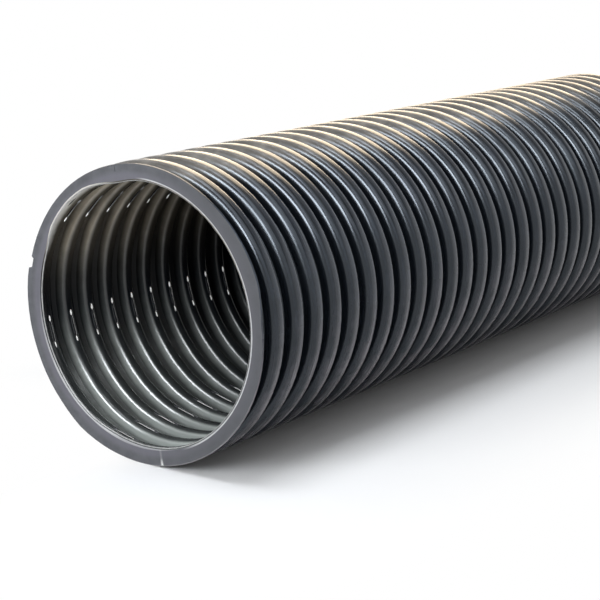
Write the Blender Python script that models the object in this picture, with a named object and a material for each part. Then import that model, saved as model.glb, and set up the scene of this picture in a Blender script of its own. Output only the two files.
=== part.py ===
"""Corrugated plastic drainage pipe, one metre long, lying along X on a level floor.

The pipe is one moulded wall. Its crests and valleys run round it as closed
rings, and each valley is cut by six short drain slots. The near end, at -X,
was cut flush with a flank, so it ends in a flat ring. The far end was cut
through a crest, so it ends in an open edge.
"""

import math

import bmesh
import bpy
from mathutils import Matrix, Vector

# Main sizes, in metres
OUTSIDE_DIAMETER = 0.315
BORE_DIAMETER = 0.280
LENGTH = 1.000
CORRUGATIONS = 30

# Section of one corrugation, in metres: the groove narrows from the crests to
# its floor, and the wall is thickest there, where the plastic stretched least
GROOVE_WIDTH = 0.0134
FLOOR_WIDTH = 0.0116
CREST_WALL = 0.0018
FLANK_WALL = 0.0016
VALLEY_WALL = 0.0026
END_RING_WALL = 0.0018

# Distance from the near end to the middle of the first valley, in metres
FIRST_VALLEY = 0.0115

# Drain slots: width and length in metres, and the rows round the pipe, in degrees
SLOT_WIDTH = 0.0036
SLOT_LENGTH = 0.0310
SLOT_ROWS = 6
FIRST_ROW_ANGLE = -73.0

# How far a slot's cutter reaches past the wall on each side, in metres
CUTTER_REACH = 0.003

# Flat facets that stand for the round wall; one of them faces straight down
FACETS = 18

# Points closer than this are one point, in metres
WELD_DISTANCE = 0.00001

PLASTIC_COLOUR = (0.016, 0.018, 0.021, 1.0)
PLASTIC_ROUGHNESS = 0.32

OUTER_RADIUS = OUTSIDE_DIAMETER / 2
BORE_RADIUS = BORE_DIAMETER / 2
FLOOR_RADIUS = BORE_RADIUS + VALLEY_WALL
RECESS_RADIUS = OUTER_RADIUS - CREST_WALL
PITCH = LENGTH / CORRUGATIONS
ROW_ANGLE = 360 / SLOT_ROWS
FACET_ANGLE = 360 / FACETS
FLANK_ANGLE = math.atan2((GROOVE_WIDTH - FLOOR_WIDTH) / 2, OUTER_RADIUS - FLOOR_RADIUS)

# The facets touch the true circles at their middles, so the flat sides keep
# the outside diameter, the bore and the walls
CORNER_FACTOR = 1 / math.cos(math.radians(FACET_ANGLE / 2))


def clear_scene():
    """Remove whatever objects the file already holds."""
    for old_object in list(bpy.data.objects):
        bpy.data.objects.remove(old_object, do_unlink=True)


def valley_centre(index):
    """Distance of a valley's middle from the near end."""
    return FIRST_VALLEY + index * PITCH


def outer_half_width(radius):
    """Half the width of a groove at one radius."""
    return FLOOR_WIDTH / 2 + (radius - FLOOR_RADIUS) * math.tan(FLANK_ANGLE)


def inner_half_width(radius):
    """Half the width of the ridge behind a groove, one flank wall wider."""
    return outer_half_width(radius) + FLANK_WALL / math.cos(FLANK_ANGLE)


def outer_skin():
    """Outline of the outside, near end to far end, as (distance, radius)."""
    groove_half = outer_half_width(OUTER_RADIUS)
    floor_half = outer_half_width(FLOOR_RADIUS)
    points = [(0.0, OUTER_RADIUS)]
    for index in range(CORRUGATIONS):
        middle = valley_centre(index)
        if index == 0:
            points.append((END_RING_WALL, OUTER_RADIUS))
            points.append((END_RING_WALL, FLOOR_RADIUS))
        else:
            points.append((middle - groove_half, OUTER_RADIUS))
            points.append((middle - floor_half, FLOOR_RADIUS))
        points.append((middle + floor_half, FLOOR_RADIUS))
        points.append((middle + groove_half, OUTER_RADIUS))
    points.append((LENGTH, OUTER_RADIUS))
    return points


def inner_skin():
    """Outline of the inside, near end to far end, as (distance, radius)."""
    ridge_half = inner_half_width(BORE_RADIUS)
    recess_half = inner_half_width(RECESS_RADIUS)
    points = [(0.0, BORE_RADIUS)]
    for index in range(CORRUGATIONS):
        middle = valley_centre(index)
        if index > 0:
            points.append((middle - recess_half, RECESS_RADIUS))
            points.append((middle - ridge_half, BORE_RADIUS))
        points.append((middle + ridge_half, BORE_RADIUS))
        points.append((middle + recess_half, RECESS_RADIUS))
    points.append((LENGTH, RECESS_RADIUS))
    return points


def add_section(mesh, angle):
    """Draw the wall's closed section in the half plane at one angle."""
    turn = Matrix.Rotation(math.radians(angle), 3, "X")
    outline = outer_skin() + inner_skin()[::-1]
    corners = []
    for distance, radius in outline:
        corners.append(mesh.verts.new(turn @ Vector((distance, radius * CORNER_FACTOR, 0.0))))
    edges = []
    for corner, following in zip(corners, corners[1:] + corners[:1]):
        edges.append(mesh.edges.new((corner, following)))
    return corners + edges


def make_plastic():
    """Black polyethylene with a soft gloss."""
    material = bpy.data.materials.new("black_polyethylene")
    material.use_nodes = True
    shader = material.node_tree.nodes["Principled BSDF"]
    shader.inputs["Base Color"].default_value = PLASTIC_COLOUR
    shader.inputs["Metallic"].default_value = 0.0
    shader.inputs["Roughness"].default_value = PLASTIC_ROUGHNESS
    return material


def add_object(name, mesh):
    """Turn a mesh on the pipe's axis into an object, laid on the floor."""
    data = bpy.data.meshes.new(name)
    mesh.to_mesh(data)
    mesh.free()
    added = bpy.data.objects.new(name, data)
    added.location = (-LENGTH / 2, 0.0, OUTER_RADIUS)
    bpy.context.scene.collection.objects.link(added)
    return added


def make_wall():
    """Turn the section right round, from the corner beside the lowest facet."""
    mesh = bmesh.new()
    section = add_section(mesh, -90 + FACET_ANGLE / 2)
    bmesh.ops.spin(
        mesh, geom=section, cent=(0.0, 0.0, 0.0), axis=(1.0, 0.0, 0.0),
        angle=math.radians(360), steps=FACETS,
    )
    bmesh.ops.remove_doubles(mesh, verts=mesh.verts, dist=WELD_DISTANCE)
    bmesh.ops.recalc_face_normals(mesh, faces=mesh.faces)
    pipe = add_object("pipe", mesh)
    pipe.data.materials.append(make_plastic())
    pipe.data.shade_smooth()
    pipe.data.set_sharp_from_angle(angle=math.radians(30))
    return pipe


def make_slot_cutters():
    """One block for each drain slot, through the valley floor."""
    mesh = bmesh.new()
    depth = VALLEY_WALL + 2 * CUTTER_REACH
    size = Matrix.Diagonal((SLOT_WIDTH, depth, SLOT_LENGTH, 1.0))
    for index in range(CORRUGATIONS):
        place = Matrix.Translation((valley_centre(index), BORE_RADIUS + VALLEY_WALL / 2, 0.0))
        for row in range(SLOT_ROWS):
            angle = math.radians(FIRST_ROW_ANGLE + row * ROW_ANGLE)
            turn = Matrix.Rotation(angle, 4, "X")
            bmesh.ops.create_cube(mesh, size=1.0, matrix=turn @ place @ size)
    cutters = add_object("slot_cutters", mesh)
    cutters.hide_render = True
    cutters.display_type = "WIRE"
    return cutters


def make_pipe():
    """Model the corrugated wall and cut its drain slots."""
    pipe = make_wall()
    slots = pipe.modifiers.new("drain slots", "BOOLEAN")
    slots.operation = "DIFFERENCE"
    slots.solver = "EXACT"
    slots.object = make_slot_cutters()
    return pipe


clear_scene()
make_pipe()
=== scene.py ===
"""Corrugated drainage pipe: its finished wall and the studio around it.

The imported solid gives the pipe's place, length and outside diameter. The wall
is drawn as one wave of its section, turned through the arc that holds one
drain slot, and copied round and along the pipe.
"""

import math
from collections import namedtuple
from contextlib import contextmanager

import bmesh
import bpy
from mathutils import Matrix, Vector


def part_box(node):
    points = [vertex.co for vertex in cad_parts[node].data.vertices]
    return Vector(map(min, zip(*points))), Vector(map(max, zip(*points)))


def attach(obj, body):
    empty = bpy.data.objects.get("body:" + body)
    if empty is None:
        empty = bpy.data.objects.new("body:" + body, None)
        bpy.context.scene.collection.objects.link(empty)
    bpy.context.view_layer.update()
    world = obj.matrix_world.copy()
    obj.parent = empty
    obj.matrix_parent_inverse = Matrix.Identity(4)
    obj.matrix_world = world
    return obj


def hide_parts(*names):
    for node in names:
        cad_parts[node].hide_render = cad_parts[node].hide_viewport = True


bl_info = {
    "name": "Corrugated Drainage Pipe",
    "version": (1, 0, 0),
    "blender": (4, 5, 0),
    "location": "View3D > Sidebar > Pipe",
    "description": "Models a slotted corrugated pipe and its studio",
    "category": "Add Mesh",
}

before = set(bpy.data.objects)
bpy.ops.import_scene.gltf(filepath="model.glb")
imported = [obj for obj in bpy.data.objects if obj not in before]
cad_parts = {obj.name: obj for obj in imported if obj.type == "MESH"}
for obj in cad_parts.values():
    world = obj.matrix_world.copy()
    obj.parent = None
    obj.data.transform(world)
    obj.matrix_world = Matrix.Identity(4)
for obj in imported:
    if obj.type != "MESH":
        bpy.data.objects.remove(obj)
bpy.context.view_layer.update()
NODE = "pipe"
BODY = "root"
LOW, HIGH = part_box(NODE)
AXIS = Vector((LOW.x, 0.0, (LOW.z + HIGH.z) / 2))

ALONG_PIPE = (1.0, 0.0, 0.0)

# The order of the wall's material slots
OUTSIDE, BORE, SAWN, WHITENED_AND_HIGHLIGHT = range(4)

# Steps of the wall's turn before, along and after a drain slot
BEFORE_SLOT, ALONG_SLOT, AFTER_SLOT = 5, 4, 6

# Segments of the rounds at a crest's shoulder, a ridge's edge and the ring's lip
SHOULDER_STEPS, RIDGE_STEPS, LIP_STEPS = 4, 3, 3

# The lip's round is just smaller than its radius, so that no two points meet
LIP_SHARE = 0.96

# How a slot narrows: skin, steps in from its ends, share of its width
SLOT_WIDTHS = (("ridge", 0, 0.25), ("ridge", 1, 0.90), ("floor", 0, 0.80))

# The burrs of a slot: side, share of the burr width, and how far in from its end
BURRS = ((1, 1.0), (-1, 0.7))
BURR_INSET = 0.001

# The ring was cut by hand: how far its two edges stray outwards, in metres, at
# angles in degrees from +Y towards +Z
INNER_EDGE = (
    (-180, -0.0005), (-150, -0.0003), (-120, -0.0006), (-108, -0.0015), (-96, -0.0030),
    (-84, -0.0040), (-72, -0.0045), (-60, -0.0030), (-48, -0.0035), (-30, -0.0040),
    (-10, -0.0035), (10, -0.0030), (24, -0.0022), (33, 0.0025), (48, 0.0038),
    (60, 0.0030), (69, -0.0005), (78, -0.0035), (88, -0.0010), (96, -0.0003), (140, 0.0),
)
OUTER_EDGE = (
    (-180, -0.0017), (-170, -0.0008), (-150, -0.0003), (-120, 0.0), (-80, 0.0),
    (-66, 0.0012), (-57, 0.0021), (-45, 0.0005), (-20, 0.0), (0, 0.0006),
    (11, 0.0008), (15, -0.0010), (70, -0.0012), (90, -0.0005), (120, 0.0005),
    (138, 0.0017), (150, 0.0023), (160, 0.0020), (168, -0.0005), (174, -0.0024),
)

# The ring's rounded inner edge: how deep it goes, how far out it strays, and
# between which tilts its faces look out at the near end
LIP_DEPTH = 0.003
LIP_STRAY = 0.004
LIP_TILT = (0.35, 0.87)

# Chips out of the ring: angle in degrees, radius, then sizes round, out and along
NICK_TURN = -99.5
RING_CHIPS = (
    (14.0, 0.1574, 0.0085, 0.0052, 0.0050),
    (78.7, 0.1560, 0.0004, 0.0095, 0.0030),
    (NICK_TURN, 0.1577, 0.0013, 0.0020, 0.0030),
)

# Angles closer than this, in radians, belong to one line along the pipe
SAME_ANGLE = 0.01

# Faces that meet at less than this, in degrees, are shaded as one round
SMOOTH_ANGLE = 32.0

# Points closer than this are one point, and places match within it
WELD = 0.00002

# The camera, fitted to the photograph: where it stands from the near end, as
# azimuth and height in degrees and distance in outside radii, and where it looks
CAMERA_STAND = (40.96, 13.97, 11.564)
CAMERA_LOOK = (35.68, 13.5)

# The lamps look at a point this far inside the near end, in metres
LIT_POINT = 0.2
GLOSS_ONLY = "Power, seen in the gloss alone"
COOL = (0.93, 0.96, 1.0)
WARM = (1.0, 0.78, 0.52)
FLOOR_SIZE = 12.0


def measure(name, description, default, **kind):
    """A number of some kind, not below zero, that a user can change."""
    return bpy.props.FloatProperty(
        name=name, description=description, default=default, min=0.0, **kind,
    )


def metres(name, description, default):
    """A length."""
    return measure(name, description, default, precision=4, unit="LENGTH", subtype="DISTANCE")


def share(name, description, default, largest=1.0):
    """A plain number."""
    return measure(name, description, default, max=largest, subtype="FACTOR")


def watts(name, default, description="Power"):
    """A lamp's power."""
    return measure(name, description, default, unit="POWER")


def colour(name, description, default):
    """A colour that a user can change."""
    return bpy.props.FloatVectorProperty(
        name=name, description=description, default=default,
        size=3, min=0.0, max=1.0, subtype="COLOR",
    )


def count(name, description, default):
    """A whole number that a user can change."""
    return bpy.props.IntProperty(name=name, description=description, default=default, min=2)


class PipeShape(bpy.types.PropertyGroup):
    """Sizes of the moulded wall."""

    length: metres("Length", "From end to end", HIGH.x - LOW.x)
    outside_diameter: metres("Outside diameter", "Across the crests", HIGH.z - LOW.z)
    bore_diameter: metres("Bore diameter", "Across the ridges inside", 0.280)
    groove_width: metres("Groove width", "Between two crests", 0.0134)
    floor_width: metres("Floor width", "Bottom of a groove", 0.0116)
    crest_wall: metres("Crest wall", "Wall over a crest", 0.0018)
    flank_wall: metres("Flank wall", "Wall of a flank", 0.0016)
    valley_wall: metres("Valley wall", "Wall under a groove", 0.0026)
    ring_wall: metres("Ring wall", "Thickness of the ring at the near end", 0.0018)
    ring_rim: metres("Ring rim", "Worn outer edge of the ring", 0.0005)
    lip_radius: metres("Lip radius", "Round of the ring's inner edge", 0.0024)
    first_valley: metres("First valley", "From the near end to its middle", 0.0115)
    shoulder_radius: metres("Shoulder radius", "Round of a crest's edges", 0.0068)
    recess_radius: metres("Recess radius", "Round of a recess's corners inside", 0.0036)
    lean: metres("Lean", "How far a flank's top leans back outside", 0.0022)
    lean_depth: metres("Lean depth", "How far below the crest the lean starts", 0.0085)
    floor_radius: metres("Floor radius", "Round of a groove's corners", 0.0025)
    ridge_radius: metres("Ridge radius", "Round of a ridge's edges inside", 0.0058)
    slot_width: metres("Slot width", "Along the pipe", 0.0036)
    slot_length: metres("Slot length", "Round the pipe", 0.0310)
    slot_ramp: metres("Slot ramp", "Length of a slot's sloping end", 0.0045)
    # The burrs are pale partly as stretched plastic, partly as painted glints
    burr_width: metres("Burr width", "Whitened burr at a slot's end, along the pipe", 0.0030)
    burr_length: metres("Burr length", "Whitened burr at a slot's end, round the pipe", 0.0072)
    burr_height: metres("Burr height", "Whitened burr, into the bore", 0.0018)
    corrugations: count("Corrugations", "Waves along the pipe", 30)
    slot_rows: count("Slot rows", "Rows of slots round the pipe", 6)
    slot_angle: measure(
        "Slot angle", "First row, from +Y towards +Z", math.radians(44.0), subtype="ANGLE",
    )


class PipeFinish(bpy.types.PropertyGroup):
    """Colours and gloss of the plastic."""

    plastic: colour("Plastic", "Black polyethylene", (0.005, 0.0065, 0.0095))
    dust: colour("Dust", "Film of dust outside", (0.08, 0.10, 0.14))
    # Painted light from the floor, as a paler film on the lower side
    low_painted_light: colour("Low dust", "Film of dust low down outside", (0.40, 0.35, 0.375))
    # Settled dust on top, with painted warm light
    top_dust_and_light: colour("Top dust", "Pale dust settled on top", (0.30, 0.275, 0.24))
    bore_film: colour("Bore film", "Greenish haze inside", (0.38, 0.41, 0.39))
    bore_clay: colour("Bore clay", "Brownish haze high up inside", (0.42, 0.37, 0.29))
    stain: colour("Bore stain", "Brown stain high up inside", (0.022, 0.018, 0.013))
    # Painted light: a pale band inside the mouth, high on the left, where light falls into the
    # bore
    mouth_light: colour("Mouth_Light", "Pale clay inside the ring, high on the left", (0.66, 0.64, 0.60))
    sawn: colour("Sawn face", "Dull cut plastic", (0.110, 0.112, 0.121))
    sawn_inner: colour("Sawn face, inner zone", "Rubbed inner zone", (0.155, 0.15, 0.175))
    # Painted highlights along parts of the ring's edges
    edge_highlight: colour("Sawn face, rubbed edge", "Pale parts of its edges", (0.50, 0.50, 0.50))
    # Whitened plastic, also the colour of the painted highlights and glints on the slots, the
    # burrs and the ring's lip
    whitened_and_highlight: colour("Whitened plastic", "Stretched plastic at cut edges", (0.90, 0.90, 0.88))
    # Painted light given off by the burrs, which are no lamp
    painted_glow: share("Painted_Glow", "Daylight that stretched plastic lets through", 0.35)
    gloss: share("Roughness", "Roughness of clean plastic", 0.23)
    sheen_tint: colour("Sheen tint", "Cool tint of the gloss outside", (0.83, 0.915, 1.0))
    # How much film lies outside; its masks also paint shade, sheen and light
    dust_and_sheen_share: share("Dust share", "How much dust lies outside", 0.20)
    top_dust_and_light_share: share("Top dust share", "How much dust lies on top", 0.70)
    bore_share: share("Haze share", "How much haze lies inside", 0.75)


class PipeStudio(bpy.types.PropertyGroup):
    """Camera, lamps and floor."""

    lens: measure("Lens", "Focal length for a 36 mm sensor", 106.95, unit="CAMERA")
    floor: colour("Floor", "Pale floor", (0.90, 0.90, 0.90))
    fade_start: metres("Fade start", "Where the floor starts to turn plain white", 0.16)
    fade_end: metres("Fade end", "Where the floor is plain white", 0.40)
    sky: share("Surround", "Strength of the surround as a light", 0.40, 5.0)
    ceiling: share("Ceiling", "Strength of the surround seen overhead", 0.35, 5.0)
    key: watts("Overhead lamp", 17.0)
    front: watts("Front lamp", 26.0)
    warm: watts("Warm lamp", 42.0, GLOSS_ONLY)
    sheen: watts("Sheen lamp", 68.0, GLOSS_ONLY)
    low: watts("Low sheen lamp", 19.0, GLOSS_ONLY)
    panel: watts("Sheen panel", 18.0, GLOSS_ONLY)


def settings():
    """The three groups of settings of the open scene."""
    scene = bpy.context.scene
    return scene.pipe_shape, scene.pipe_finish, scene.pipe_studio


# Selecting and placing


def spot(distance, radius, angle):
    """Point at a distance from the near end, a radius and an angle round the axis."""
    turn = Vector((0.0, math.cos(angle), math.sin(angle)))
    return AXIS + Vector((distance, 0.0, 0.0)) + radius * turn


def polar(point):
    """Distance from the near end, radius and angle of a point."""
    arm = Vector(point) - AXIS
    return arm.x, math.hypot(arm.y, arm.z), math.atan2(arm.z, arm.y)


def angle_between(one, other):
    """Signed angle from one direction round the axis to another."""
    return (other - one + math.pi) % (2 * math.pi) - math.pi


def let_go():
    """Deselect every object."""
    bpy.ops.object.select_all(action="DESELECT")


def take(*pieces):
    """Select these objects alone; the first is the active one."""
    let_go()
    for piece in pieces:
        piece.select_set(True)
    bpy.context.view_layer.objects.active = pieces[0]


@contextmanager
def editing(piece):
    """Edit mode on one piece, with all of it selected at first."""
    take(piece)
    bpy.ops.object.mode_set(mode="EDIT")
    bpy.ops.mesh.select_all(action="SELECT")
    yield
    bpy.ops.object.mode_set(mode="OBJECT")


def pick(piece, kind, test):
    """In edit mode, select only the vertices, edges or faces that pass a test."""
    bpy.ops.mesh.select_all(action="DESELECT")
    bpy.ops.mesh.select_mode(type=kind)
    mesh = bmesh.from_edit_mesh(piece.data)
    group = {"VERT": mesh.verts, "EDGE": mesh.edges, "FACE": mesh.faces}[kind]
    found = [element for element in group if test(element)]
    if not found:
        raise RuntimeError(f"nothing to select on {piece.name}")
    for element in found:
        element.select_set(True)
    bmesh.update_edit_mesh(piece.data)


def assign(piece, index, test):
    """In edit mode, give the faces that pass a test one of the materials."""
    pick(piece, "FACE", test)
    piece.active_material_index = index
    bpy.ops.object.material_slot_assign()


def weld():
    """In edit mode, merge the points that lie together."""
    bpy.ops.mesh.select_all(action="SELECT")
    bpy.ops.mesh.remove_doubles(threshold=WELD)


def pick_place(piece, distances, radii, angle):
    """In edit mode, select the vertices within two spans, at an angle."""

    def inside(vertex):
        distance, radius, at = polar(vertex.co)
        return (
            distances[0] - WELD < distance < distances[1] + WELD
            and radii[0] - WELD < radius < radii[1] + WELD
            and abs(angle_between(angle, at)) < SAME_ANGLE
        )

    pick(piece, "VERT", inside)


def middle(element):
    """Middle of an edge or face."""
    return sum((corner.co for corner in element.verts), Vector()) / len(element.verts)


def settle(piece):
    """Put an object's place into its mesh."""
    take(piece)
    bpy.ops.object.transform_apply(location=True, rotation=True, scale=True)


def shape_new(place, sizes, angle):
    """Stretch the primitive just added, and turn it round the pipe's axis."""
    block = bpy.context.object
    with editing(block):
        bpy.ops.transform.resize(value=sizes, center_override=place)
        bpy.ops.transform.rotate(value=-angle, orient_axis="X", center_override=AXIS)
    settle(block)
    return block


# Section of the wall


class Section:
    """Radii, half widths and arcs worked out from the sizes."""

    def __init__(self, shape):
        self.shape = shape
        self.crest = shape.outside_diameter / 2
        self.recess = self.crest - shape.crest_wall
        self.ridge = shape.bore_diameter / 2
        self.floor = self.ridge + shape.valley_wall
        self.pitch = shape.length / shape.corrugations
        run = (shape.groove_width - shape.floor_width) / 2
        self.slope = math.atan2(run, self.crest - self.floor)
        self.turn = math.pi / 2 - self.slope
        self.lean_start = self.crest - shape.lean_depth
        self.crest_turn = self.turn - math.atan2(shape.lean, shape.lean_depth)
        self.slot = shape.slot_width / 2
        self.slot_arc = shape.slot_length / self.ridge
        self.row_arc = 2 * math.pi / shape.slot_rows
        gap = (self.row_arc - self.slot_arc) / (BEFORE_SLOT + AFTER_SLOT)
        self.start = shape.slot_angle - self.slot_arc / 2 - BEFORE_SLOT * gap
        self.stretches = (
            (BEFORE_SLOT * gap, BEFORE_SLOT), (self.slot_arc, ALONG_SLOT),
            (AFTER_SLOT * gap, AFTER_SLOT),
        )

    def outer(self, radius):
        """Half width of a groove at a radius."""
        return self.shape.floor_width / 2 + (radius - self.floor) * math.tan(self.slope)

    def inner(self, radius):
        """Half width, at a radius, of the ridge behind a groove."""
        return self.outer(radius) + self.shape.flank_wall / math.cos(self.slope)


def draw_line(name, corners, section):
    """Draw a line through (distance, radius) corners where the first sector starts."""
    points = [spot(distance, radius, section.start) for distance, radius in corners]
    let_go()
    bpy.ops.mesh.primitive_plane_add(size=WELD, location=points[0])
    line = bpy.context.object
    line.name = name
    with editing(line):
        bpy.ops.mesh.select_mode(type="VERT")
        bpy.ops.mesh.merge(type="CENTER")
        for before, after in zip(points, points[1:]):
            bpy.ops.mesh.extrude_vertices_move(
                TRANSFORM_OT_translate={"value": after - before},
            )
    settle(line)
    return line


def round_corners(line, corners, radius, turn, steps=1):
    """Round the corners of a line that lie at these (distance, radius) places."""

    def at_corner(vertex):
        distance, height, _angle = polar(vertex.co)
        return any(math.hypot(distance - x, height - r) < WELD for x, r in corners)

    with editing(line):
        pick(line, "VERT", at_corner)
        bpy.ops.mesh.bevel(
            offset_type="OFFSET", offset=radius * math.tan(turn / 2), segments=steps,
            profile=0.5, affect="VERTICES",
        )


def outer_half(section, centre):
    """Corners of the outside: slot edge, groove's foot, bend, shoulder, crest."""
    return [
        (centre + section.slot, section.floor),
        (centre + section.outer(section.floor), section.floor),
        (centre + section.outer(section.lean_start), section.lean_start),
        (centre + section.outer(section.crest) + section.shape.lean, section.crest),
        (centre + section.pitch / 2, section.crest),
    ]


def inner_half(section, centre):
    """Corners of the inside: slot edge, ridge's edge, recess's corner, recess."""
    return [
        (centre + section.slot, section.ridge),
        (centre + section.inner(section.ridge), section.ridge),
        (centre + section.inner(section.recess), section.recess),
        (centre + section.pitch / 2, section.recess),
    ]


def mirrored(half, centre):
    """The same corners on the other side of a valley's middle."""
    return [(2 * centre - distance, radius) for distance, radius in half]


def round_outside(line, section, halves):
    """Round the shoulders and the feet of halves of a groove."""
    shape = section.shape
    feet = [half[1] for half in halves]
    shoulders = [half[3] for half in halves]
    round_corners(
        line, shoulders, shape.shoulder_radius, section.crest_turn, SHOULDER_STEPS,
    )
    round_corners(line, feet, shape.floor_radius, section.turn)


def round_inside(line, section, halves):
    """Round the recess's corners and the ridge's edges of halves of a ridge."""
    shape = section.shape
    edges = [half[1] for half in halves]
    recesses = [half[2] for half in halves]
    round_corners(line, recesses, shape.recess_radius, section.turn)
    round_corners(line, edges, shape.ridge_radius, section.turn, RIDGE_STEPS)


def outer_skin(section, centre):
    """One wave of the outside, from crest to crest, with the valley at centre."""
    after = outer_half(section, centre)
    before = mirrored(after, centre)
    line = draw_line("outer_skin", before[::-1] + after, section)
    round_outside(line, section, [before, after])
    return line


def inner_skin(section, centre):
    """One wave of the inside, from recess to recess, with the ridge at centre."""
    after = inner_half(section, centre)
    before = mirrored(after, centre)
    line = draw_line("inner_skin", before[::-1] + after, section)
    round_inside(line, section, [before, after])
    return line


def ring_outside(section, centre):
    """Ring at the near end, and the outside as far as the next crest."""
    shape = section.shape
    lip = section.ridge + shape.lip_radius
    third = (section.crest - lip) / 3
    foot = (shape.ring_wall, section.floor)
    after = outer_half(section, centre)
    corners = [
        (0.0, lip), (0.0, lip + third),
        (0.0, section.crest - third), (0.0, section.crest - shape.ring_rim),
        (shape.ring_rim, section.crest), (shape.ring_wall, section.crest),
        foot, (centre - section.slot, section.floor), *after,
    ]
    line = draw_line("ring_outside", corners, section)
    round_outside(line, section, [after])
    round_corners(line, [foot], shape.floor_radius, math.pi / 2)
    return line


def ring_inside(section, centre):
    """Rounded inner edge of the ring, and the inside as far as the next recess."""
    lip_radius = section.shape.lip_radius
    edge = (0.0, section.ridge)
    after = inner_half(section, centre)
    corners = [
        (0.0, section.ridge + lip_radius), edge,
        (centre - section.slot, section.ridge), *after,
    ]
    line = draw_line("ring_inside", corners, section)
    round_inside(line, section, [after])
    round_corners(line, [edge], LIP_SHARE * lip_radius, math.pi / 2, LIP_STEPS)
    return line


def turn_line(line, section):
    """Turn a line about the pipe's axis through one row's sector."""
    with editing(line):
        for arc, steps in section.stretches:
            bpy.ops.mesh.spin(steps=steps, angle=-arc, center=AXIS, axis=ALONG_PIPE)


def give_materials(piece, materials, index):
    """Put all the wall's materials on a piece and use one of them for every face."""
    for material in materials:
        piece.data.materials.append(material)
    for face in piece.data.polygons:
        face.material_index = index


# Drain slots


def in_slot(section, centre, point, slack=0.0):
    """Whether a point lies on the valley's wall within the first row's slot."""
    distance, radius, angle = polar(point)
    off_row = abs(angle_between(section.shape.slot_angle, angle)) * section.ridge
    return (
        abs(distance - centre) < section.slot + slack
        and off_row < section.slot_arc * section.ridge / 2 + slack
        and section.ridge - section.slot < radius < section.floor + section.slot
    )


def shape_slot(piece, section, centre):
    """Narrow a slot towards its ends, and draw the ends of its outer opening in."""
    across = (centre - section.slot, centre + section.slot)
    for side in (-1, 1):
        for skin, steps_in, width in SLOT_WIDTHS:
            radius = getattr(section, skin)
            away = section.slot_arc * (0.5 - steps_in / ALONG_SLOT)
            angle = section.shape.slot_angle + side * away
            pick_place(piece, across, (radius, radius), angle)
            bpy.ops.transform.resize(
                value=(width, 1.0, 1.0), center_override=spot(centre, radius, angle),
            )
        end = section.shape.slot_angle + side * section.slot_arc / 2
        pick_place(piece, across, (section.floor, section.floor), end)
        inwards = -side * Vector((0.0, -math.sin(end), math.cos(end)))
        bpy.ops.transform.translate(value=section.shape.slot_ramp * inwards)


def cut_slot(piece, section, centre):
    """Open one slot through both skins of a sector and join its edges."""

    def on_rim(edge):
        return edge.is_boundary and in_slot(section, centre, middle(edge), 2 * WELD)

    def slot_wall(face):
        radius = polar(middle(face))[1]
        between_skins = section.ridge + WELD < radius < section.floor - WELD
        return between_skins and in_slot(section, centre, middle(face))

    with editing(piece):
        pick(piece, "FACE", lambda face: in_slot(section, centre, middle(face)))
        bpy.ops.mesh.delete(type="FACE")
        shape_slot(piece, section, centre)
        pick(piece, "EDGE", on_rim)
        bpy.ops.mesh.bridge_edge_loops()
        assign(piece, WHITENED_AND_HIGHLIGHT, slot_wall)


def slot_burr(section, centre, side, width, materials):
    """Burr left at one end of the first row's slot, seen in the bore, pale partly as stretched
    plastic and partly as a painted glint.
    """
    shape = section.shape
    place = spot(centre, section.ridge, 0.0)
    sizes = (width * shape.burr_width, shape.burr_height, shape.burr_length)
    angle = shape.slot_angle + side * (section.slot_arc / 2 - BURR_INSET / section.ridge)
    let_go()
    bpy.ops.mesh.primitive_ico_sphere_add(subdivisions=1, radius=0.5, location=place)
    burr = shape_new(place, sizes, angle)
    give_materials(burr, materials, WHITENED_AND_HIGHLIGHT)
    return burr


def join(pieces, name):
    """Join pieces into one and weld their shared points."""
    take(*pieces)
    bpy.ops.object.join()
    joined = bpy.context.object
    joined.name = name
    with editing(joined):
        weld()
    return joined


def make_hoop(name, section, centre, draw_outside, draw_inside, materials):
    """Turn two skins into a sector, cut its slot and copy it right round the pipe."""
    skins = [draw_outside(section, centre), draw_inside(section, centre)]
    for skin, index in zip(skins, (OUTSIDE, BORE)):
        turn_line(skin, section)
        give_materials(skin, materials, index)
    hoop = join(skins, name)
    cut_slot(hoop, section, centre)
    burrs = [slot_burr(section, centre, side, width, materials) for side, width in BURRS]
    hoop = join([hoop, *burrs], name)
    copies = section.shape.slot_rows - 1
    with editing(hoop):
        bpy.ops.mesh.spin(
            steps=copies, dupli=True, angle=-copies * section.row_arc,
            center=AXIS, axis=ALONG_PIPE,
        )
        weld()
    return hoop


def repeat_along(hoop, section, waves):
    """Copy a hoop along the pipe, welded to its neighbours."""
    take(hoop)
    row = hoop.modifiers.new("waves", "ARRAY")
    row.use_relative_offset = False
    row.use_constant_offset = True
    row.constant_offset_displace = (section.pitch, 0.0, 0.0)
    row.count = waves
    row.use_merge_vertices = True
    row.merge_threshold = WELD
    bpy.ops.object.modifier_apply(modifier=row.name)


def stations(section):
    """Angles of the lines that run along the pipe."""
    angles = []
    start = section.start
    for _row in range(section.shape.slot_rows):
        for arc, steps in section.stretches:
            angles += [start + arc * step / steps for step in range(steps)]
            start += arc
    return angles


def stray(table, angle):
    """Value at an angle of a table of (degrees, metres) that closes on itself."""
    degrees = math.degrees(angle_between(0.0, angle))
    closed = [*table, (table[0][0] + 360, table[0][1])]
    for (start, low), (stop, high) in zip(closed, closed[1:]):
        if start <= degrees <= stop:
            return low + (high - low) * (degrees - start) / (stop - start)
    return 0.0


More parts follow.
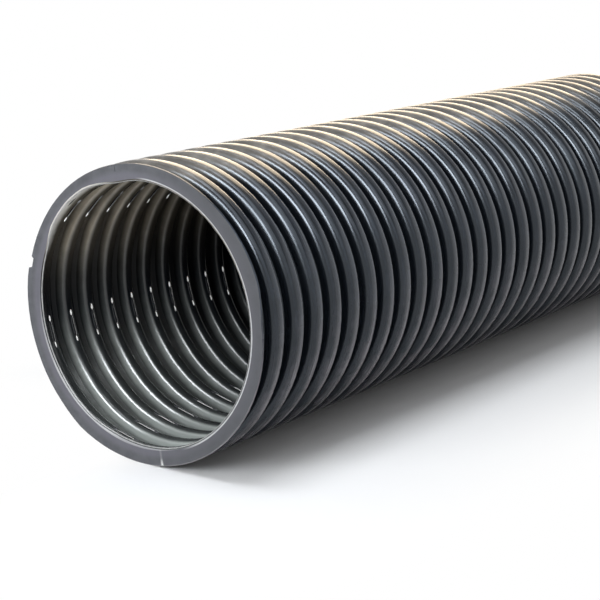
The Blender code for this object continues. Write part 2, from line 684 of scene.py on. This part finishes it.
def waver_ring(ring, section):
    """Let the two edges of the ring stray from the circle, as the saw left them."""
    shape = section.shape
    inner = (section.ridge, section.ridge + shape.lip_radius)
    outer = (section.crest - 2 * shape.ring_rim, section.crest)
    edges = ((INNER_EDGE, LIP_DEPTH, inner), (OUTER_EDGE, shape.ring_wall, outer))
    with editing(ring):
        for angle in stations(section):
            outwards = Vector((0.0, math.cos(angle), math.sin(angle)))
            for table, depth, radii in edges:
                pick_place(ring, (0.0, depth), radii, angle)
                bpy.ops.transform.translate(value=stray(table, angle) * outwards)


def chip_cutter(degrees, radius, around, out, along):
    """Five-sided block that breaks one chip out of the ring."""
    place = spot(0.0, radius, 0.0)
    let_go()
    bpy.ops.mesh.primitive_cylinder_add(
        vertices=5, radius=1.0, depth=2.0, location=place,
        rotation=(0.0, math.radians(90.0), 0.0),
    )
    return shape_new(place, (along, out, around), math.radians(degrees))


def chip_ring(wall, materials):
    """Break the small chips and the crack out of the ring."""
    cutters = join([chip_cutter(*chip) for chip in RING_CHIPS], "chip_cutters")
    give_materials(cutters, materials, SAWN)
    face_outwards(cutters)
    take(wall)
    chips = wall.modifiers.new("chips", "BOOLEAN")
    chips.operation = "DIFFERENCE"
    chips.solver = "MANIFOLD"
    chips.object = cutters
    bpy.ops.object.modifier_apply(modifier=chips.name)
    take(cutters)
    bpy.ops.object.delete()


def close_far_end(wall, section):
    """Lead the last crest out to the pipe's end, round its cut edge and back inside."""
    shape = section.shape
    last = shape.first_valley + (shape.corrugations - 0.5) * section.pitch
    rest = shape.length - last - WELD / 10

    def at_last_crest(edge):
        distance, radius, _angle = polar(middle(edge))
        return edge.is_boundary and distance > last - WELD and radius > section.recess + WELD

    inwards = section.recess / section.crest
    with editing(wall):
        pick(wall, "EDGE", at_last_crest)
        bpy.ops.mesh.extrude_region_move(TRANSFORM_OT_translate={"value": (rest, 0.0, 0.0)})
        bpy.ops.mesh.extrude_region_move()
        bpy.ops.transform.resize(
            value=(1.0, inwards, inwards), center_override=spot(shape.length, 0.0, 0.0),
        )
        bpy.ops.mesh.extrude_region_move(TRANSFORM_OT_translate={"value": (-rest, 0.0, 0.0)})
        weld()


def mark_cut_faces(wall, section):
    """Give both cut ends the sawn material, and the ring's inner edge the pale material that
    paints a highlight line on it.
    """

    def sawn(face):
        distance = polar(middle(face))[0]
        at_end = distance < WELD or distance > section.shape.length - WELD
        return at_end and abs(face.normal.x) > 0.9

    def lip(face):
        distance, radius, _angle = polar(middle(face))
        inside = radius < section.ridge + section.shape.lip_radius + LIP_STRAY
        return distance < LIP_DEPTH and inside and LIP_TILT[0] < -face.normal.x < LIP_TILT[1]

    with editing(wall):
        assign(wall, SAWN, sawn)
        assign(wall, WHITENED_AND_HIGHLIGHT, lip)


def face_outwards(piece):
    """Point all faces outwards."""
    with editing(piece):
        bpy.ops.mesh.normals_make_consistent(inside=False)


def make_wall(section, materials):
    """The ring with its first wave, then the other waves, the far cut and the chips."""
    first = section.shape.first_valley
    second = first + section.pitch
    ring = make_hoop("ring_hoop", section, first, ring_outside, ring_inside, materials)
    waver_ring(ring, section)
    waves = make_hoop("wave_hoop", section, second, outer_skin, inner_skin, materials)
    repeat_along(waves, section, section.shape.corrugations - 1)
    wall = join([waves, ring], "pipe_wall")
    close_far_end(wall, section)
    face_outwards(wall)
    chip_ring(wall, materials)
    face_outwards(wall)
    bpy.ops.object.shade_smooth_by_angle(angle=math.radians(SMOOTH_ANGLE))
    mark_cut_faces(wall, section)
    return wall


# Materials, and what the two node groups put out

Place = namedtuple("Place", "across radius turn along height")
Wear = namedtuple("Wear", "dust streaks relief")


def feed(socket, value):
    """Link a socket to another, or set it to a number or colour."""
    if isinstance(value, bpy.types.NodeSocket):
        socket.id_data.links.new(value, socket)
    elif socket.type == "RGBA":
        socket.default_value = (*value, 1.0)
    else:
        socket.default_value = value


def feed_inputs(node, **values):
    """Feed a node's inputs; an underscore in a name stands for a space."""
    for name, value in values.items():
        feed(node.inputs[name.replace("_", " ")], value)


def add_node(tree, kind, options=(), **inputs):
    """Add a node with its options and feed its inputs."""
    node = tree.nodes.new(kind)
    for name, value in dict(options).items():
        setattr(node, name, value)
    feed_inputs(node, **inputs)
    return node


def new_material(name):
    """A material with its Principled shader, and the tree that holds it."""
    material = bpy.data.materials.new(name)
    material.use_nodes = True
    tree = material.node_tree
    return material, tree, tree.nodes["Principled BSDF"]


def new_group(name, inputs, outputs):
    """An empty node group with number sockets."""
    group = bpy.data.node_groups.new(name, "ShaderNodeTree")
    sockets = [(label, "INPUT") for label in inputs] + [(label, "OUTPUT") for label in outputs]
    for label, side in sockets:
        group.interface.new_socket(name=label, in_out=side, socket_type="NodeSocketFloat")
    return group, group.nodes.new("NodeGroupInput"), group.nodes.new("NodeGroupOutput")


def number(operation, first, *others):
    """A Math node's value; the first operand is a socket, the others may be constants."""
    node = add_node(first.id_data, "ShaderNodeMath", {"operation": operation})
    for socket, value in zip(node.inputs, (first, *others)):
        feed(socket, value)
    return node.outputs["Value"]


def product(first, *others):
    """A socket multiplied by other sockets or constants."""
    for other in others:
        first = number("MULTIPLY", first, other)
    return first


def ranged(mask, low, high):
    """Number that goes from low to high with a mask."""
    span = add_node(mask.id_data, "ShaderNodeMapRange", Value=mask, To_Min=low, To_Max=high)
    return span.outputs["Result"]


def between(value, start, stop, low=0.0, high=1.0):
    """Smooth step from low to high as a value goes from start to stop."""
    step = add_node(
        value.id_data, "ShaderNodeMapRange", {"interpolation_type": "SMOOTHSTEP"},
        Value=value, From_Min=start, From_Max=stop, To_Min=low, To_Max=high,
    )
    return step.outputs["Result"]


def between_turns(turn, start, stop):
    """Smooth step over an angle round the axis, in degrees."""
    return between(turn, math.radians(start), math.radians(stop))


def on_arc(turn, start, full, fade, stop):
    """Mask over an arc round the axis, in degrees: it starts, is full, fades, stops."""
    return product(between_turns(turn, start, full), between_turns(turn, stop, fade))


def mixed(mask, first, second):
    """Colour that goes from first to second with a mask; both are colours or sockets."""
    mix = add_node(mask.id_data, "ShaderNodeMix", {"data_type": "RGBA"})
    colours = [socket for socket in mix.inputs if socket.type == "RGBA"]
    for socket, value in zip((mix.inputs[0], *colours), (mask, first, second)):
        feed(socket, value)
    return next(socket for socket in mix.outputs if socket.type == "RGBA")


def darkened(values, part):
    """A colour at a part of its brightness."""
    return [part * value for value in values]


def split_place(tree):
    """Object coordinates, whole and as X, Y and Z."""
    place = tree.nodes.new("ShaderNodeTexCoord").outputs["Object"]
    split = add_node(tree, "ShaderNodeSeparateXYZ", Vector=place)
    return (place, *split.outputs)


def make_place_group(section):
    """Where a point lies: across its wave, and by radius, turn, length and height."""
    group, _start, end = new_group("pipe_place", (), [name.title() for name in Place._fields])
    _place, length, side, rise = split_place(group)
    height = number("SUBTRACT", rise, AXIS.z)
    along = number("SUBTRACT", length, AXIS.x)
    waves = number("SUBTRACT", along, section.shape.first_valley)
    square = number("MULTIPLY_ADD", side, side, number("POWER", height, 2.0))
    feed_inputs(
        end, Across=number("FRACT", number("DIVIDE", waves, section.pitch)),
        Radius=number("SQRT", square), Turn=number("ARCTAN2", height, side),
        Along=along, Height=height,
    )


def use_group(tree, name, **inputs):
    """Put a node group into a tree and feed its inputs."""
    node = tree.nodes.new("ShaderNodeGroup")
    node.node_tree = bpy.data.node_groups[name]
    feed_inputs(node, **inputs)
    return node.outputs


def noise(tree, vector, scale, detail, roughness=0.5):
    """Value of a noise texture at a place."""
    node = add_node(
        tree, "ShaderNodeTexNoise",
        Vector=vector, Scale=scale, Detail=detail, Roughness=roughness,
    )
    return node.outputs["Fac"]


def make_wear_group():
    """Dust, circling streaks and relief of moulded plastic, as masks and a height."""
    sizes = ("Dust size", "Streak size")
    group, start, end = new_group("plastic_wear", sizes, [name.title() for name in Wear._fields])
    dust_size, streak_size = (start.outputs[label] for label in sizes)
    whole = split_place(group)[0]
    place = Place(*use_group(group, "pipe_place"))
    drawn_out = add_node(
        group, "ShaderNodeCombineXYZ",
        X=product(place.along, 160.0), Y=place.turn, Z=product(place.radius, 60.0),
    )
    dust = noise(group, whole, dust_size, 6.0, 0.62)
    streaks = noise(group, drawn_out.outputs["Vector"], streak_size, 5.0, 0.6)
    fine = noise(group, whole, 420.0, 3.0)
    broad = noise(group, whole, 34.0, 2.0)
    feed_inputs(
        end, Dust=between(dust, 0.38, 0.72), Streaks=between(streaks, 0.4, 0.68),
        Relief=number("MULTIPLY_ADD", fine, 0.03, broad),
    )


def start_finish(name, dust_size, streak_size):
    """A new material with both groups in it."""
    material, tree, shader = new_material(name)
    place = Place(*use_group(tree, "pipe_place"))
    wear = Wear(*use_group(
        tree, "plastic_wear", Dust_size=dust_size, Streak_size=streak_size,
    ))
    return material, shader, place, wear


def bumped(height, strength, distance):
    """Normal with a relief from a height."""
    bump = add_node(
        height.id_data, "ShaderNodeBump", Height=height, Strength=strength, Distance=distance,
    )
    return bump.outputs["Normal"]


def outside_colour(finish, section, place, wear):
    """Black plastic under a film of dust, kept off the grooves as painted shade, growing across
    each crest as a painted sheen, and heavier and paler low down as painted light; pale dust
    with painted warm light on top.
    """
    crest = section.crest
    # Painted shade: the film lies only on the crests, so the grooves stay dark
    crest_out_of_shade = between(place.radius, crest - 0.005, crest - 0.0005)
    # Painted sheen: the film grows from each crest's near edge to its far edge, mixed with dust
    # noise
    edge = (section.outer(crest) + 0.0055) / section.pitch
    sheen_rise = between(place.across, edge, 1.0 - edge)
    dust_and_sheen = number("MULTIPLY_ADD", wear.dust, 0.5, sheen_rise)
    # Painted light from the floor: the film is heavier and paler low down
    low = between(place.height, 0.3 * crest, -0.5 * crest)
    low_light_lift = number("MULTIPLY_ADD", low, 0.6, 1.0)
    film_and_painted_light = product(crest_out_of_shade, dust_and_sheen, low_light_lift, finish.dust_and_sheen_share)
    filmed = mixed(film_and_painted_light, finish.plastic, mixed(low, finish.dust, finish.low_painted_light))
    # Settled dust on top, partly painted warm light there
    on_top = between(place.height, 0.82 * crest, 0.98 * crest)
    grain = number("MULTIPLY_ADD", wear.dust, 0.5, 0.5)
    return mixed(product(on_top, grain, finish.top_dust_and_light_share), filmed, finish.top_dust_and_light)


def make_outside(finish, section):
    """Black polyethylene with a soft gloss, and a duller crease at each crest's edge."""
    material, shader, place, wear = start_finish("black_polyethylene", 26.0, 1.0)
    line = (section.outer(section.crest) + 0.0040) / section.pitch
    off_line = number("ABSOLUTE", number("SUBTRACT", place.across, line))
    crease = between(off_line, 0.0, 0.045, 0.30, 0.0)
    streaky = ranged(wear.streaks, finish.gloss - 0.03, finish.gloss + 0.08)
    feed_inputs(
        shader, Base_Color=outside_colour(finish, section, place, wear),
        Roughness=number("ADD", streaky, crease), Specular_Tint=finish.sheen_tint,
        Normal=bumped(wear.relief, 0.07, 0.0004),
    )
    return material


def bore_haze(finish, section, place, grain):
    """Where the haze settles: low down and high up, thin on ridge tops."""
    ridge = section.ridge
    low_down = between(place.height, -0.1 * ridge, -0.9 * ridge, 0.25, 2.4)
    high_up = between(place.height, 0.05 * ridge, 0.5 * ridge, 0.0, 1.3)
    off_flat = between(place.radius, ridge + 0.0005, ridge + 0.004, 0.12, 1.0)
    settled = number("ADD", low_down, high_up)
    return product(grain, settled, off_flat, finish.bore_share)


def open_to_light(section, place):
    """Painted shade: a mask that falls off away from the mouth and in the recesses."""
    ridge = section.ridge
    near_mouth = between(place.along, 0.05, 0.36, 1.0, 0.2)
    fall = between(place.radius, ridge + 0.0045, section.recess - 0.002, 0.0, -0.88)
    kept = between(place.height, -0.8 * ridge, -0.3 * ridge, 0.7, 1.0)
    return product(near_mouth, number("MULTIPLY_ADD", fall, kept, 1.0))


def make_bore(finish, section):
    """The same plastic inside, greenish with haze low down and brown high up, dimmed as painted
    shade deep inside and in the recesses, with a painted pool of light inside the mouth, high on
    the left.
    """
    material, shader, place, wear = start_finish("bore_polyethylene", 14.0, 1.0)
    ridge = section.ridge
    grain = number("MULTIPLY_ADD", wear.dust, 0.4, 0.6)
    # Painted shade: the haze and the coat's gloss fade deep inside and in the recesses
    lit = open_to_light(section, place)
    haze = product(bore_haze(finish, section, place, grain), lit)
    upper = between(place.height, -0.2 * ridge, 0.5 * ridge)
    film = mixed(upper, finish.bore_film, finish.bore_clay)
    hazy_and_shaded = mixed(haze, mixed(upper, finish.plastic, finish.stain), film)
    # Painted pool of light inside the mouth, high on the left
    at_mouth = between(place.along, 0.008, 0.002)
    mouth_light = product(on_arc(place.turn, 18, 34, 64, 82), at_mouth, grain)
    low = between(place.height, -0.45 * ridge, -0.65 * ridge)
    off_ridge = between(place.radius, ridge + 0.0002, ridge + 0.0012, 0.2, 1.0)
    feed_inputs(
        shader, Base_Color=mixed(mouth_light, hazy_and_shaded, finish.mouth_light),
        Roughness=ranged(wear.streaks, finish.gloss - 0.09, finish.gloss + 0.03),
        Coat_Weight=product(lit, number("MAXIMUM", low, off_ridge)),
        Coat_Roughness=finish.gloss - 0.05, Specular_IOR_Level=0.04,
        Normal=bumped(wear.relief, 0.07, 0.0005),
    )
    return material


def sawn_zones(finish, section, place, wear):
    """Tone of the cut face: paler in its inner zone, and darker on the right as painted shade.
    """
    ridge = section.ridge
    darker = darkened(finish.sawn, 0.75)
    tone = mixed(wear.dust, finish.sawn, darker)
    inner = between(place.radius, ridge + 0.0115, ridge + 0.0045, 0.0, 0.6)
    # Painted shade on the right of the ring
    right_shade = between(number("COSINE", place.turn), 0.1, -0.7, 0.0, 0.7)
    return mixed(right_shade, mixed(inner, tone, finish.sawn_inner), darker)


def edge_highlight_arc(section, place, wear):
    """Mask of the painted highlight along an arc of the inner edge, low on the left."""
    edge = between(place.radius, section.ridge + 0.0014, section.ridge + 0.0002)
    streaky = number("MULTIPLY_ADD", wear.streaks, 0.6, 0.4)
    return product(edge, on_arc(place.turn, -124, -104, -20, 5), streaky)


def nick_scuff(section, place):
    """Mask of the pale scuff beside the nick at the bottom of the ring."""
    off_nick = number("ABSOLUTE", number("SUBTRACT", place.turn, math.radians(NICK_TURN)))
    outer = between(place.radius, section.crest - 0.010, section.crest, 0.1, 0.8)
    return product(between(off_nick, 0.016, 0.0), outer)


def highlight_lines(section, place):
    """Mask of thin painted highlight lines: the inner edge on the right, the outer one low down.
    """
    turn, crest = place.turn, section.crest
    edge = section.ridge + section.shape.lip_radius
    right = number("MAXIMUM", between_turns(turn, 88, 97), between_turns(turn, -110, -124))
    inner = product(right, between(place.radius, edge + 0.0011, edge + 0.0004))
    at_rim = between(place.radius, crest - 0.0014, crest - 0.0008)
    outer = product(at_rim, on_arc(turn, -165, -140, -100, -92))
    return product(number("MULTIPLY_ADD", outer, 0.35, inner), 0.9)


def make_sawn(finish, section):
    """Dull cut face of the ring, with painted highlights along parts of its edges."""
    material, shader, place, wear = start_finish("sawn_polyethylene", 40.0, 0.6)
    tone = sawn_zones(finish, section, place, wear)
    tone = mixed(edge_highlight_arc(section, place, wear), tone, finish.edge_highlight)
    tone = mixed(nick_scuff(section, place), tone, finish.whitened_and_highlight)
    tone = mixed(highlight_lines(section, place), tone, finish.edge_highlight)
    feed_inputs(
        shader, Base_Color=tone, Roughness=ranged(wear.streaks, 0.5, 0.66),
        Specular_IOR_Level=0.1, Normal=bumped(wear.relief, 0.3, 0.0006),
    )
    return material


def slot_wall_colour(finish, section, place, upper):
    """Walls of a slot: dark, with a thin painted highlight on the rim, stronger near the mouth,
    and a paler one at the bottom.
    """
    ridge, radius = section.ridge, place.radius
    near = between(place.along, 0.10, 0.05, 0.1, 0.8)
    rim = product(near, between(radius, ridge + 0.0008, ridge + 0.0003))
    dark = mixed(rim, finish.plastic, darkened(finish.whitened_and_highlight, 0.45))
    pale = between(radius, ridge + 0.0013, ridge + 0.0006)
    return mixed(upper, mixed(pale, finish.plastic, finish.whitened_and_highlight), dark)


def make_whitened_and_highlight(finish, section):
    """Pale stretched plastic with painted light: highlights on the rims of the slots, glints on
    the burrs and a line on the ring's lip.
    """
    material, shader, place, wear = start_finish("whitened_and_highlight_polyethylene", 200.0, 1.0)
    ridge, white = section.ridge, finish.whitened_and_highlight
    past_lip = between(place.along, 0.003, 0.006)
    on_burr = between(place.radius, ridge + 0.0002, ridge - 0.0001)
    upper = between(place.height, -0.75 * ridge, -0.5 * ridge)
    faint = between(place.height, 0.64 * ridge, 0.72 * ridge, 1.0, 0.1)
    # Painted highlight line on the ring's lip, in a dimmed pale colour
    lip = mixed(wear.dust, darkened(white, 0.45), darkened(white, 0.30))
    wall = slot_wall_colour(finish, section, place, upper)
    # Painted glints: the burrs are white round the sides, dull at the bottom and at the top
    burr = mixed(upper, finish.sawn, mixed(faint, finish.sawn, white))
    shiny = product(on_burr, past_lip)
    feed_inputs(
        shader, Base_Color=mixed(past_lip, lip, mixed(on_burr, wall, burr)),
        # Painted light: the burrs give off light, though they are no lamp
        Emission_Color=mixed(product(shiny, upper, faint), (0.0, 0.0, 0.0), white),
        Emission_Strength=finish.painted_glow, Specular_IOR_Level=0.1,
        Roughness=0.25, Coat_Weight=shiny, Coat_Roughness=0.15,
    )
    return material


# Stage


def show_directly(tree, lit, shown, end, share=1.0):
    """Mix two shaders: camera, mirror and glass rays see a share of the second."""
    path = tree.nodes.new("ShaderNodeLightPath").outputs
    seen = number("MAXIMUM", path["Is Camera Ray"], path["Is Glossy Ray"])
    seen = number("MAXIMUM", seen, path["Is Transmission Ray"])
    mix = tree.nodes.new("ShaderNodeMixShader")
    for socket, value in zip(mix.inputs, (product(seen, share), lit, shown)):
        feed(socket, value)
    feed_inputs(tree.nodes[end], Surface=mix.outputs["Shader"])


def floor_fade(tree, studio):
    """Mask that is 1 where the floor goes over into plain white."""
    _place, along, side, _rise = split_place(tree)
    past_end = number("SUBTRACT", number("ABSOLUTE", along), HIGH.x)
    past_end = number("MAXIMUM", past_end, 0.0)
    square = number("MULTIPLY_ADD", side, side, number("POWER", past_end, 2.0))
    far = between(number("SQRT", square), studio.fade_start, studio.fade_end)
    before_end = between(along, LOW.x + 0.34, LOW.x + 0.12)
    left_of_axis = between(side, -0.03, 0.05)
    return number("MAXIMUM", far, product(before_end, left_of_axis))


def make_floor_material(studio):
    """Pale floor that keeps the pipe's shadow and goes over into plain white."""
    material, tree, shader = new_material("studio_floor")
    feed_inputs(shader, Base_Color=studio.floor, Roughness=0.9, Specular_IOR_Level=0.1)
    white = add_node(tree, "ShaderNodeEmission", Strength=1.0)
    fade = floor_fade(tree, studio)
    show_directly(
        tree, shader.outputs["BSDF"], white.outputs["Emission"], "Material Output", fade,
    )
    return material


def make_surround(studio):
    """Surround that is plain white where it is seen low down, and dimmer overhead."""
    world = bpy.data.worlds.new("studio_surround")
    bpy.context.scene.world = world
    world.use_nodes = True
    tree = world.node_tree
    white = (1.0, 1.0, 1.0)
    light = tree.nodes["Background"]
    feed_inputs(light, Color=white, Strength=studio.sky)
    direction = tree.nodes.new("ShaderNodeTexCoord").outputs["Generated"]
    height = add_node(tree, "ShaderNodeSeparateXYZ", Vector=direction).outputs["Z"]
    strength = between(height, 0.34, 0.50, 1.0, studio.ceiling)
    shown = add_node(tree, "ShaderNodeBackground", Color=white, Strength=strength)
    show_directly(
        tree, light.outputs["Background"], shown.outputs["Background"], "World Output",
    )


def aim(thing, target, along=(0.0, 0.0, 0.0)):
    """Turn a lamp or a camera to look at a point, its width along a direction if given."""
    back = (thing.location - Vector(target)).normalized()
    width = Vector(along) - back * back.dot(Vector(along))
    if width.length < WELD:
        width = Vector((0.0, 0.0, 1.0)).cross(back)
    width.normalize()
    thing.rotation_euler = Matrix((width, back.cross(width), back)).transposed().to_euler()


def add_lamp(name, place, target, size, power, tint, along=(0.0, 0.0, 0.0)):
    """A rectangular soft lamp that faces a point."""
    let_go()
    bpy.ops.object.light_add(type="AREA", location=place)
    lamp = bpy.context.object
    lamp.name = name
    lamp.data.shape = "RECTANGLE"
    lamp.data.size, lamp.data.size_y = size
    lamp.data.energy = power
    lamp.data.color = tint
    aim(lamp, target, along)
    return lamp


def towards(azimuth, elevation):
    """Direction at these angles, in degrees."""
    turn, rise = math.radians(azimuth), math.radians(elevation)
    return Vector((
        math.cos(rise) * math.cos(turn), math.cos(rise) * math.sin(turn), math.sin(rise),
    ))


def add_lamps(studio):
    """Two soft lamps, and four that only the gloss of the crests reflects."""
    near = AXIS + Vector((LIT_POINT, 0.0, 0.0))
    overhead = AXIS + Vector((-0.1, -0.15, 1.6))
    add_lamp("overhead_lamp", overhead, near, (0.6, 0.8), studio.key, COOL, ALONG_PIPE)
    front = near + 2.1 * towards(180.0, 24.0)
    add_lamp("front_lamp", front, near, (1.5, 0.8), studio.front, COOL)
    for name, reach, azimuth, height, size, power, tint in (
        ("warm_lamp", 2.5, 28.0, 31.0, (1.5, 1.9), studio.warm, WARM),
        ("sheen_lamp", 2.1, 180.0, 30.0, (1.8, 0.6), studio.sheen, COOL),
        ("low_sheen_lamp", 2.1, 170.0, 13.0, (1.0, 0.5), studio.low, COOL),
        ("sheen_panel", 2.2, -112.0, 46.0, (1.8, 0.9), studio.panel, COOL),
    ):
        place = near + reach * towards(azimuth, height)
        lamp = add_lamp(name, place, near, size, power, tint)
        lamp.visible_diffuse = False


def add_camera(studio):
    """Camera at the photograph's viewing angle."""
    azimuth, height, reach = CAMERA_STAND
    look_azimuth, look_down = CAMERA_LOOK
    place = AXIS - reach * (HIGH.z - LOW.z) / 2 * towards(azimuth, -height)
    bpy.ops.object.camera_add(location=place)
    camera = bpy.context.object
    camera.name = "photo_camera"
    camera.data.lens = studio.lens
    aim(camera, place + towards(look_azimuth, -look_down))
    bpy.context.scene.camera = camera


# Operators and panel


class PIPE_OT_wall(bpy.types.Operator):
    """Model the moulded wall with its waves, slots and cut ends"""

    bl_idname = "pipe.wall"
    bl_label = "Corrugated Wall"

    def execute(self, context):
        shape, finish, _studio = settings()
        section = Section(shape)
        make_place_group(section)
        make_wear_group()
        makers = (make_outside, make_bore, make_sawn, make_whitened_and_highlight)
        materials = [make(finish, section) for make in makers]
        wall = make_wall(section, materials)
        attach(wall, BODY)
        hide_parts(NODE)
        return {"FINISHED"}


class PIPE_OT_studio(bpy.types.Operator):
    """Add the pale floor, the soft lamps, the surround and the camera"""

    bl_idname = "pipe.studio"
    bl_label = "Studio"

    def execute(self, context):
        _shape, _finish, studio = settings()
        let_go()
        bpy.ops.mesh.primitive_plane_add(size=FLOOR_SIZE, location=(0.0, 0.0, LOW.z))
        floor = bpy.context.object
        floor.name = "studio_floor"
        floor.data.materials.append(make_floor_material(studio))
        settle(floor)
        make_surround(studio)
        add_lamps(studio)
        add_camera(studio)
        context.scene.view_settings.view_transform = "Standard"
        return {"FINISHED"}


class PIPE_PT_panel(bpy.types.Panel):
    """Sizes, colours and steps of the pipe"""

    bl_idname = "PIPE_PT_panel"
    bl_label = "Corrugated Pipe"
    bl_space_type = "VIEW_3D"
    bl_region_type = "UI"
    bl_category = "Pipe"

    def draw(self, context):
        for group in settings():
            box = self.layout.box()
            for name in group.bl_rna.properties.keys():
                if name not in ("rna_type", "name"):
                    box.prop(group, name)
        for step in STEPS:
            self.layout.operator(step.bl_idname)


STEPS = (PIPE_OT_wall, PIPE_OT_studio)
GROUPS = {"pipe_shape": PipeShape, "pipe_finish": PipeFinish, "pipe_studio": PipeStudio}
CLASSES = (*GROUPS.values(), *STEPS, PIPE_PT_panel)


def register():
    """Register the classes and attach the settings to the scene."""
    for each in CLASSES:
        bpy.utils.register_class(each)
    for name, group in GROUPS.items():
        setattr(bpy.types.Scene, name, bpy.props.PointerProperty(type=group))


def unregister():
    """Take the settings and classes away again."""
    for name in GROUPS:
        delattr(bpy.types.Scene, name)
    for each in reversed(CLASSES):
        bpy.utils.unregister_class(each)


def main():
    """Build the pipe and the studio."""
    register()
    bpy.ops.pipe.wall()
    bpy.ops.pipe.studio()


if __name__ == "__main__":
    main()
